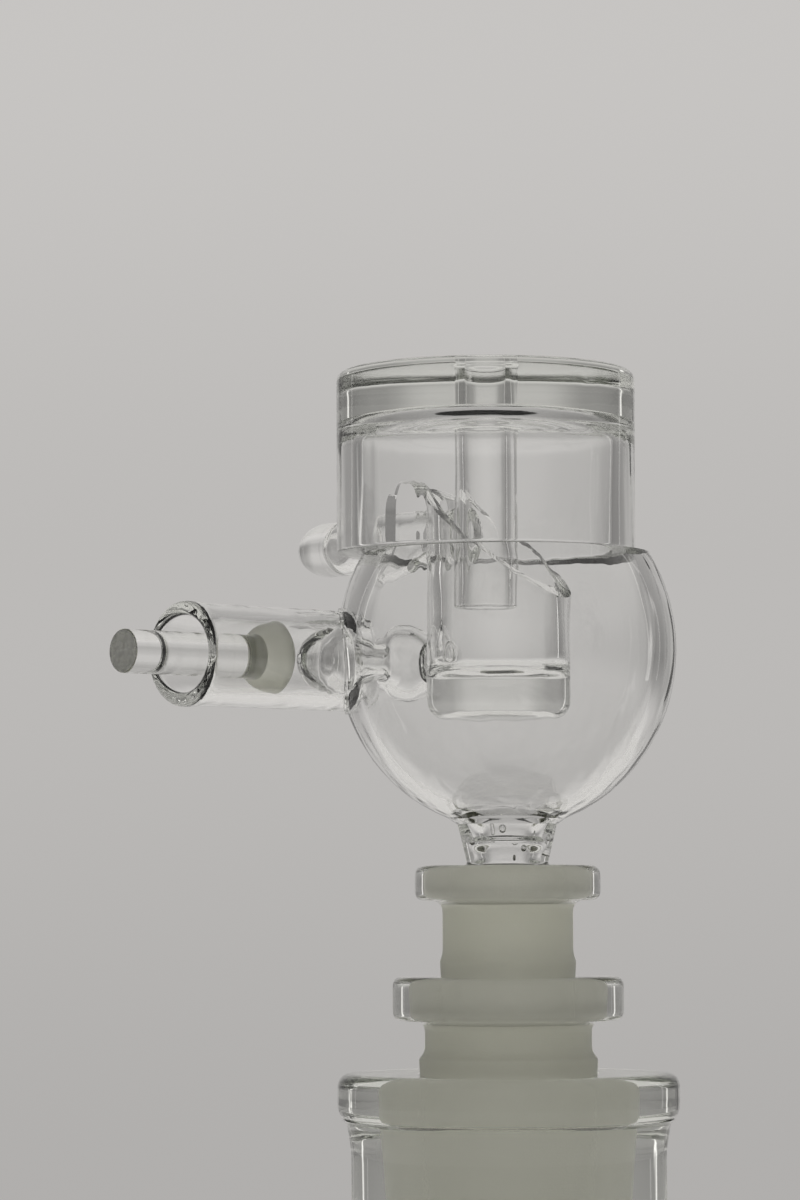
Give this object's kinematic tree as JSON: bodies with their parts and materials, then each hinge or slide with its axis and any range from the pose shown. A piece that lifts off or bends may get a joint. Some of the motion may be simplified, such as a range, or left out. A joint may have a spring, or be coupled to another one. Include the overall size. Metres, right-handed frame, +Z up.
{
  "type": "glass bubble vessel with lid and ground-joint adapters",
  "caption": "Clear glass bubble with a loose lid, an inner slant-rimmed cup and a plugged side tube, on stacked ground-joint reducing adapters in a ground socket.",
  "frame": {"origin": "centre of the flat underside of the ground socket's foot", "axes": "+Z up along the common axis of the ground joints, +X away from the plugged side tube, +Y along the closed arm"},
  "size_m": [0.0618, 0.0511, 0.108],
  "materials": {
    "clear_glass": "polished",
    "frosted_glass": "ground"
  },
  "bodies": {
    "socket": {"socket_foot": "clear_glass", "socket_body": "clear_glass", "socket_collar": "clear_glass"},
    "lower_adapter": {"lower_adapter_cone": "frosted_glass", "lower_adapter_collar": "clear_glass"},
    "upper_adapter": {"upper_adapter_cone": "frosted_glass", "upper_adapter_collar": "clear_glass"},
    "head": {"male_joint": "frosted_glass", "neck": "clear_glass", "bubble": "clear_glass", "bucket": "clear_glass", "bridge_weld": "clear_glass", "bridge_inner_bulb": "clear_glass", "bridge_neck": "clear_glass", "bridge_outer_bulb": "clear_glass", "side_tube": "clear_glass", "side_tube_weld": "clear_glass", "closed_arm": "clear_glass", "closed_arm_end": "clear_glass"},
    "plug": {"ground_plug": "frosted_glass", "plug_rod": "clear_glass"},
    "lid": {"lid_plate": "clear_glass", "lid_wall": "clear_glass", "lid_downtube": "clear_glass"}
  },
  "joints": [
    {"name": "lower_adapter_lift", "type": "slide", "parent": "socket", "child": "lower_adapter", "axis": [0, 0, 1], "range_m": [0, 0.026]},
    {"name": "upper_adapter_lift", "type": "slide", "parent": "lower_adapter", "child": "upper_adapter", "axis": [0, 0, 1], "range_m": [0, 0.026]},
    {"name": "head_swivel", "type": "hinge", "parent": "upper_adapter", "child": "head", "pos_m": [0, 0, 0.045], "axis": [0, 0, 1], "continuous": true},
    {"name": "plug_pull", "type": "slide", "parent": "head", "child": "plug", "axis": [-1, 0, 0], "range_m": [0, 0.02]},
    {"name": "lid_lift", "type": "slide", "parent": "head", "child": "lid", "axis": [0, 0, 1], "range_m": [0, 0.025]}
  ]
}
